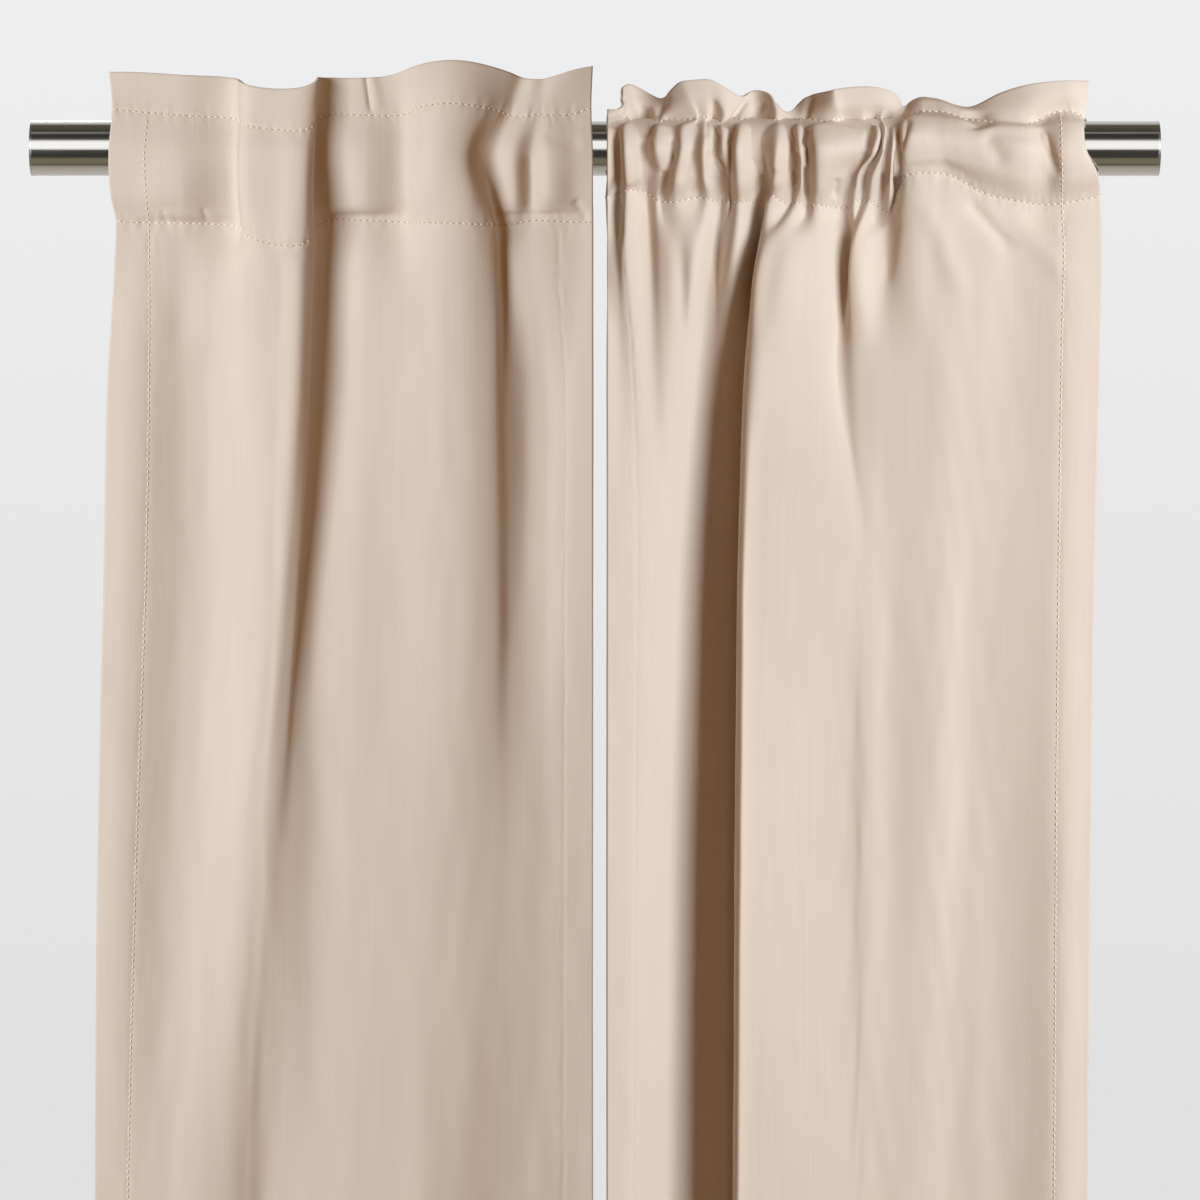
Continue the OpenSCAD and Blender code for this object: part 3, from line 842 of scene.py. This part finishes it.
def panel_pieces(panel, hem_names):
    """The face, hems and stitches that both panels have. The first hem name is the one at low x."""
    height, width = panel.grid.shape[:2]
    hem_top = panel.hem_row
    side_rows = (panel.low_row + 3, hem_top)
    face = cloth_object(f"{panel.side}_curtain_face", panel.grid, panel.x0, CLOTH, panel.flat)
    low_hem = panel.layer(f"{panel.side}_bottom_hem_fold", (hem_top, height), (0, width))
    first = panel.layer(hem_names[0], side_rows, (0, panel.first_col + 2))
    second = panel.layer(hem_names[1], side_rows, (panel.last_col - 1, width))
    lines = [panel.row_line(r) for r in (panel.top_row, panel.low_row, hem_top + 1)]
    shown, blind = panel.first_col, panel.last_col
    if panel.side == "right":
        shown, blind = blind, shown
    lines.append(panel.column_line(shown, (panel.top_row + 3, hem_top)))
    lines.append(panel.blind_line(blind, (panel.low_row + 5, hem_top)))
    thread = stitch_object(f"{panel.side}_stitching", lines, panel.x0, THREAD)
    return face, low_hem, first, second, thread


left_hems = ["left_outer_hem_fold", "left_inner_hem_fold"]
right_hems = ["right_inner_hem_fold", "right_outer_hem_fold"]
left_face, left_low_hem, left_outer_hem, left_inner_hem, left_thread = panel_pieces(left, left_hems)
right_face, right_low_hem, right_inner_hem, right_outer_hem, right_thread = panel_pieces(right, right_hems)
left_facing = left.layer("left_back_facing", (0, left.low_row + 4), (0, left.grid.shape[1]))


def tangent_angle(point, radius, side):
    """Where a line from point touches the circle round the rod's axis, above it (side 1) or below (-1)."""
    return math.atan2(point[1], point[0]) + side * math.acos(radius / math.hypot(*point))


def back_tab(name, cad_node):
    """A back tab: sewn behind the facing at both rows, and round the back of the rod between them."""
    low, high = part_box(cad_node)
    x0, x1 = ((v - LEFT_X) / MM for v in (low.x, high.x))
    count, steps = TAB_GRID
    across = np.linspace(x0, x1, count)
    behind = 2 * LAYER + 0.15
    radius = ROD_R + TAB_GAP
    ends = []
    for row, drops in ((left.top_row, (7, 0)), (left.low_row, (4, -3))):
        points, out = left.grid[row], left.normals[row]
        base = points - out * behind
        ends.append([np.interp(across, base[:, 0], base[:, i]) for i in (1, 2)])
        ends[-1].append(drops)
    strips = []
    for i in range(len(across)):
        (d0, z0, up), (d1, z1, down) = ends
        on_point, off_point = (d0[i], z0[i] + up[1]), (d1[i], z1[i] + down[0])
        on = tangent_angle(on_point, radius, 1)
        off = tangent_angle(off_point, radius, -1) + 2 * math.pi
        path = [(d0[i], z0[i] + up[0]), on_point]
        path += [(radius * math.cos(a), radius * math.sin(a)) for a in np.linspace(on, off, 14)]
        path += [off_point, (d1[i], z1[i] + down[1])]
        path = np.array(path)
        run = np.concatenate([[0], np.cumsum(np.linalg.norm(np.diff(path, axis=0), axis=1))])
        rows = np.linspace(0, run[-1], steps)
        depth, height = (np.interp(rows, run, path[:, k]) for k in (0, 1))
        strips.append(np.stack([np.full(steps, across[i]), depth, height], axis=1))
    grid = np.stack(strips, axis=1)
    flat = np.stack([np.broadcast_to(across - x0, grid.shape[:2]), lengths(grid, 0)], axis=2)
    return cloth_object(name, grid, LEFT_X, CLOTH, flat, TAB_T)


tabs = {t: back_tab(f"left_{t}_back_tab", f"left_{t}_tab") for t in ("outer", "middle", "inner")}


def back_sleeve():
    """The turned-over top of the right panel: the ruffle's back layer and the back half of the rod pocket."""
    front = right_sections()
    knots = np.mean([chord_knots(front[i][1][:, :2]) for i in (4, 6)], axis=0)
    every = front[4][0]
    gathers = np.array([1.0 if c % 2 == 0 else 5.0 for c in every])
    gathers[26:] = [2, 3, 3, 2, 3, 4, 3, 2]
    x_mid, x_low = front[4][1][:, 0], front[6][1][:, 0]
    across = np.linspace(0, 1, right.grid.shape[1])
    behind = right.grid - right.normals * LAYER
    curves = [behind[right.top_row]]
    for share, angle in ((0.3, 125), (0.5, 165), (0.7, 200), (0.9, 232)):
        _, points = wrapped(every, x_mid + (x_low - x_mid) * share, gathers, angle, ROD_R + WRAP_GAP)
        curves.append(spline(knots, points, across))
    curves.append(behind[right.low_row])
    grid, _ = fill_down(curves, [2.0] * 5)
    start, end = right.top_row, right.top_row + len(grid)
    grid = np.concatenate([behind[:start], grid, behind[right.low_row + 1:right.low_row + 4]])
    clear_of_rod(grid, (start, end), ROD_R + ROD_GAP + CLOTH_T / 2)
    return cloth_object("right_back_sleeve", grid, RIGHT_X, CLOTH, flat_coordinates(grid, right.width))


right_sleeve = back_sleeve()

# ---------------------------------------------------------------- what moves with what

LEFT_SPAN = (LEFT_X, LEFT_INNER_X)
RIGHT_SPAN = (RIGHT_OUTER_X, RIGHT_X)
for piece in (left_face, left_facing, left_low_hem, left_outer_hem, left_thread):
    gather(piece, LEFT_JOINT, *LEFT_SPAN, anchor_x=LEFT_X)
gather(left_inner_hem, LEFT_JOINT, *LEFT_SPAN, anchor_x=LEFT_INNER_X, body="left_leading_edge")
for piece in (right_face, right_sleeve, right_low_hem, right_outer_hem, right_thread):
    gather(piece, RIGHT_JOINT, *RIGHT_SPAN, anchor_x=RIGHT_OUTER_X)
gather(right_inner_hem, RIGHT_JOINT, *RIGHT_SPAN, anchor_x=RIGHT_X, body="right_leading_edge")
for which, tab in tabs.items():
    low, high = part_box(f"left_{which}_tab")
    gather(tab, LEFT_JOINT, *LEFT_SPAN, anchor_x=(low.x + high.x) / 2, body=f"left_{which}_tab_loop")

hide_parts("left_panel_cloth")
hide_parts("left_top_facing")
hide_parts("left_bottom_hem")
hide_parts("left_outer_side_hem")
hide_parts("left_inner_side_hem")
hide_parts("left_seam_thread")
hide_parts("right_panel_cloth", "right_pocket_front", "right_ruffled_heading")
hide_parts("right_pocket_back")
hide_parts("right_bottom_hem")
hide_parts("right_outer_side_hem")
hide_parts("right_inner_side_hem")
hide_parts("right_seam_thread")
for which, tab in tabs.items():
    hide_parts(f"left_{which}_tab")


LEFT_SEWN_ON = [left_facing, left_low_hem, left_outer_hem, left_inner_hem, left_thread, *tabs.values()]
RIGHT_SEWN_ON = [right_sleeve, right_low_hem, right_outer_hem, right_inner_hem, right_thread]

# ---------------------------------------------------------------- stage, camera and light

scene = bpy.context.scene
scene.view_settings.view_transform = "Standard"
KEYS = [(-1, 54), (1, 62)]  # side, watts
KEY_TURN, KEY_RISE = math.radians(40), math.radians(10)
KEY_DISTANCE, KEY_SIZE = 2.4, (1.2, 1.8)
KEY_COLOUR = (0.96, 1.01, 1.0)
BACK_WATTS, BACK_SIZE, BACK_COLOUR = 45, (1.6, 1.6), (0.95, 1.0, 1.03)
FILL, FILL_COLOUR = 0.20, (1.0, 0.47, 0.13)
FLOOR_DROP = 0.012  # from the lowest hem to the floor


def make_floor():
    """A plain pale floor that neither lights the cloth nor shows in the rod."""
    material, tree, shader = new_material("pale_floor")
    coords = node(tree, "ShaderNodeTexCoord").outputs["Object"]
    cloud = noise(tree, coords, 2.0, scale=1.2)
    colour = ramp(tree, cloud, [(0.3, (0.76, 0.76, 0.76)), (0.7, (0.80, 0.80, 0.80))])
    tree.links.new(colour, shader.inputs["Base Color"])
    shader.inputs["Roughness"].default_value = 0.8
    z = cad_box[0].z - FLOOR_DROP
    corners = [(-3.5, -4.5, z), (3.5, -4.5, z), (3.5, 3.0, z), (-3.5, 3.0, z)]
    floor = mesh_object("floor", corners, [(0, 1, 2, 3)], material)
    floor.visible_glossy = False
    floor.visible_diffuse = False
    floor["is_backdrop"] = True
    return floor


def make_camera():
    """Straight on from the room, level with the rod, turned a little down to the upper half of the panels."""
    data = bpy.data.cameras.new("camera")
    data.sensor_width = 36
    camera = bpy.data.objects.new("camera", data)
    scene.collection.objects.link(camera)
    distance, frame_height, look_down = 4.0, 0.840, 0.315
    middle_x = (LEFT_INNER_X + RIGHT_X) / 2
    camera.location = (middle_x, ROD_Y - distance, ROD_Z)
    aim = Vector((middle_x, ROD_Y, ROD_Z - look_down)) - camera.location
    camera.rotation_euler = aim.to_track_quat("-Z", "Y").to_euler()
    data.lens = data.sensor_width * aim.length / frame_height
    scene.camera = camera


def soft_light(name, place, aim, size, watts, colour):
    data = bpy.data.lights.new(name, "AREA")
    data.shape = "RECTANGLE"
    data.size, data.size_y = size
    data.energy = watts
    data.color = colour
    lamp = bpy.data.objects.new(name, data)
    scene.collection.objects.link(lamp)
    lamp.location = place
    lamp.rotation_euler = (Vector(aim) - Vector(place)).to_track_quat("-Z", "Y").to_euler()
    return lamp


def keep_off(lamp, pieces):
    """Flags the lamp off some pieces, as a black card between the two panels does."""
    group = bpy.data.collections.new(lamp.name + "_unlit")
    for piece in pieces:
        group.objects.link(piece)
    lamp.light_linking.receiver_collection = group
    for entry in group.collection_objects:
        entry.light_linking.link_state = "EXCLUDE"


def light_floor(floor):
    """A hazy overhead light for the floor alone, so that it stays pale all round."""
    data = bpy.data.lights.new("floor_haze", "SUN")
    data.energy = 2.4
    data.angle = math.radians(100)
    data.color = (0.88, 1.0, 1.10)
    lamp = bpy.data.objects.new("floor_haze", data)
    scene.collection.objects.link(lamp)
    lamp.location = (0, ROD_Y, 1.6)
    group = bpy.data.collections.new("floor_lit")
    group.objects.link(floor)
    lamp.light_linking.receiver_collection = group


def make_world():
    """A pale studio: plain to the camera, dim and warm to the cloth, and banded in reflections."""
    w = bpy.data.worlds.new("studio")
    scene.world = w
    w.use_nodes = True
    tree = w.node_tree
    tree.nodes.clear()
    coords = node(tree, "ShaderNodeTexCoord").outputs["Generated"]
    parts = node(tree, "ShaderNodeSeparateXYZ", {0: coords})
    level = {"Value": parts.outputs["Z"], "From Min": -0.16, "From Max": 0.06}
    height = node(tree, "ShaderNodeMapRange", level).outputs[0]
    low_white, white, high_white = linear(226, 225, 226), linear(232, 232, 232), linear(241, 241, 243)
    backdrop = ramp(tree, height, [(0.0, low_white), (0.45, white), (1.0, high_white)])
    forward = math_node(tree, "MULTIPLY", parts.outputs["Y"], -1.0)
    rise = math_node(tree, "ARCTAN2", parts.outputs["Z"], forward)
    circle = {"Value": rise, "From Min": -math.pi, "From Max": math.pi}
    turn = node(tree, "ShaderNodeMapRange", circle).outputs[0]
    bands = ramp(tree, turn, studio_bands())
    path = node(tree, "ShaderNodeLightPath")

    def background(colour, strength):
        return node(tree, "ShaderNodeBackground", {"Color": colour, "Strength": strength}).outputs[0]

    def choose(ray, otherwise, chosen):
        return node(tree, "ShaderNodeMixShader", {0: path.outputs[ray], 1: otherwise, 2: chosen}).outputs[0]

    lit = choose("Is Glossy Ray", background((*FILL_COLOUR, 1), FILL), background(bands, 1.0))
    seen = choose("Is Camera Ray", lit, background(backdrop, 1.0))
    node(tree, "ShaderNodeOutputWorld", {"Surface": seen})


def studio_bands():
    """The studio as a level rod reflects it: colours at degrees round the rod, 0 in front and 90 above."""
    dark, black = (0.045, 0.040, 0.036), (0.10, 0.09, 0.07)
    olive, brown = (0.20, 0.18, 0.12), (0.10, 0.08, 0.05)
    grey, dim, pale = (0.30, 0.30, 0.28), (0.42, 0.38, 0.33), (0.62, 0.60, 0.57)
    white, wall = (1.15, 1.15, 1.15), (0.8, 0.8, 0.8)
    stops = [
        (-179, wall), (-150, pale), (-84, dim), (-72, brown), (-64, olive), (-44, olive), (-36, dark),
        (-5, dark), (-1, white), (31, white), (36, grey), (42, dark), (64, dark), (70, grey), (76, dark),
        (100, (0.10, 0.09, 0.06)), (118, black), (126, (0.55, 0.53, 0.50)), (179, wall),
    ]
    return [(degrees / 360 + 0.5, colour) for degrees, colour in stops]


floor = make_floor()
light_floor(floor)
make_camera()
make_world()
for side, watts in KEYS:
    aim = Vector((side * 0.17, ROD_Y, ROD_Z - 0.45))
    across, up = math.cos(KEY_RISE), math.sin(KEY_RISE)
    towards = Vector((side * math.sin(KEY_TURN) * across, -math.cos(KEY_TURN) * across, up))
    name = "softbox_left" if side < 0 else "softbox_right"
    lamp = soft_light(name, aim + KEY_DISTANCE * towards, aim, KEY_SIZE, watts, KEY_COLOUR)
    others = [right_face, *RIGHT_SEWN_ON] if side < 0 else [left_face, *LEFT_SEWN_ON]
    keep_off(lamp, [*others, floor])
back_place, back_aim = (-1.1, ROD_Y + 2.4, ROD_Z + 0.3), (0, ROD_Y, ROD_Z - 0.6)
back = soft_light("back_softbox", back_place, back_aim, BACK_SIZE, BACK_WATTS, BACK_COLOUR)
keep_off(back, [floor])

low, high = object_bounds()
